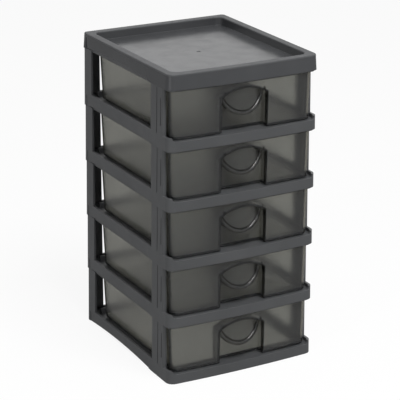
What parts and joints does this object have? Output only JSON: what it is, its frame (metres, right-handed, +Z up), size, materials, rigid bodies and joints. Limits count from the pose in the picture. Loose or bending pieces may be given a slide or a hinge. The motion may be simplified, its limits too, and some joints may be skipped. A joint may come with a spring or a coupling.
{
  "type": "drawer tower",
  "caption": "Desktop tower of small see-through sliding drawers in stacked open plastic frames under a tray-topped lid, for sorting craft parts.",
  "frame": {"origin": "middle of the tower's footprint, on the surface that it stands on", "axes": "+Z up, -Y towards the drawer fronts, +X to the right as seen from the front"},
  "size_m": [0.182, 0.21, 0.347],
  "materials": {
    "charcoal_frame": "satin moulded charcoal polypropylene",
    "charcoal_lid": "satin moulded charcoal polypropylene",
    "smoky_drawer": "smoky translucent moulded polystyrene"
  },
  "bodies": {
    "tower": {"bottom_frame": "charcoal_frame", "lower_frame": "charcoal_frame", "middle_frame": "charcoal_frame", "upper_frame": "charcoal_frame", "top_frame": "charcoal_frame", "lid": "charcoal_lid"},
    "bottom_drawer": {"bottom_drawer": "smoky_drawer"},
    "lower_drawer": {"lower_drawer": "smoky_drawer"},
    "middle_drawer": {"middle_drawer": "smoky_drawer"},
    "upper_drawer": {"upper_drawer": "smoky_drawer"},
    "top_drawer": {"top_drawer": "smoky_drawer"}
  },
  "joints": [
    {"name": "bottom_drawer_slide", "type": "slide", "parent": "tower", "child": "bottom_drawer", "axis": [0, -1, 0], "range_m": [0, 0.145]},
    {"name": "lower_drawer_slide", "type": "slide", "parent": "tower", "child": "lower_drawer", "axis": [0, -1, 0], "range_m": [0, 0.145]},
    {"name": "middle_drawer_slide", "type": "slide", "parent": "tower", "child": "middle_drawer", "axis": [0, -1, 0], "range_m": [0, 0.145]},
    {"name": "upper_drawer_slide", "type": "slide", "parent": "tower", "child": "upper_drawer", "axis": [0, -1, 0], "range_m": [0, 0.145]},
    {"name": "top_drawer_slide", "type": "slide", "parent": "tower", "child": "top_drawer", "axis": [0, -1, 0], "range_m": [0, 0.145]}
  ]
}
